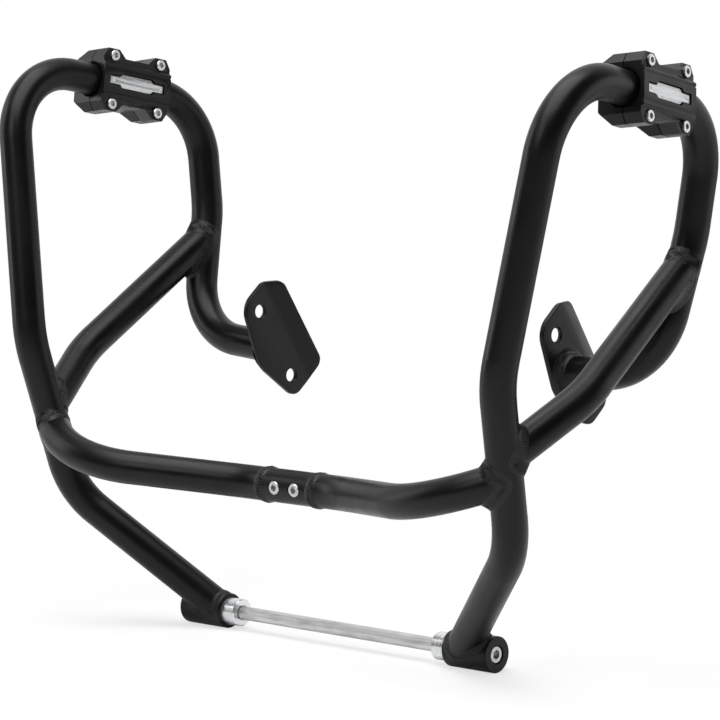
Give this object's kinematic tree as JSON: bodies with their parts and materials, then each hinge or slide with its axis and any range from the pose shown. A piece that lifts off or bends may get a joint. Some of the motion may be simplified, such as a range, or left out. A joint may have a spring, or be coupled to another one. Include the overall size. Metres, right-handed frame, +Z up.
{
  "type": "motorcycle crash bars",
  "caption": "Bent tube loops joined low across the front by a screwed coupler, with bracket plates, slider clamps and a mounting rod, that shield a motorcycle's engine in a fall.",
  "frame": {"origin": "middle of the mounting rod, on its axis and on the motorcycle's centre plane", "axes": "+X along the mounting rod, towards the machine's one side; +Y rearwards; +Z up as fitted. The picture looks at the front of the bars from above and to one side, from about (1.69, -1.82, 0.45) m."},
  "size_m": [0.5755, 0.2453, 0.4482],
  "materials": {
    "frame_coat": "satin black powder coat with soft broad highlights",
    "clamp_coat": "satin black coat, a little smoother than the tubes",
    "collar_metal": "turned aluminium with fine rings",
    "rod_steel": "grey steel with faint streaks along the rod",
    "screw_steel": "bright steel with a soft shine",
    "badge_metal": "brushed aluminium, bare"
  },
  "bodies": {
    "root": {"left_loop_tube": "frame_coat", "left_brace_tube": "frame_coat", "left_cross_tube": "frame_coat", "left_lower_boss": "frame_coat", "left_bracket_plate": "frame_coat", "left_brace_front_weld": "frame_coat", "left_brace_rear_weld": "frame_coat", "left_cross_weld": "frame_coat", "left_boss_weld": "frame_coat", "left_plate_weld": "frame_coat", "left_clamp_front": "clamp_coat", "left_clamp_back": "clamp_coat", "left_collar": "collar_metal", "left_boss_screw": "screw_steel", "left_clamp_screws": "screw_steel", "left_badge_plate": "badge_metal", "right_loop_tube": "frame_coat", "right_brace_tube": "frame_coat", "right_cross_tube": "frame_coat", "right_lower_boss": "frame_coat", "right_bracket_plate": "frame_coat", "right_brace_front_weld": "frame_coat", "right_brace_rear_weld": "frame_coat", "right_cross_weld": "frame_coat", "right_boss_weld": "frame_coat", "right_plate_weld": "frame_coat", "right_clamp_front": "clamp_coat", "right_clamp_back": "clamp_coat", "right_collar": "collar_metal", "right_boss_screw": "screw_steel", "right_clamp_screws": "screw_steel", "right_badge_plate": "badge_metal", "coupler_socket": "frame_coat", "coupler_plug": "frame_coat", "socket_weld": "frame_coat", "plug_weld": "frame_coat", "coupler_screws": "screw_steel", "mounting_rod": "rod_steel"}
  },
  "joints": []
}
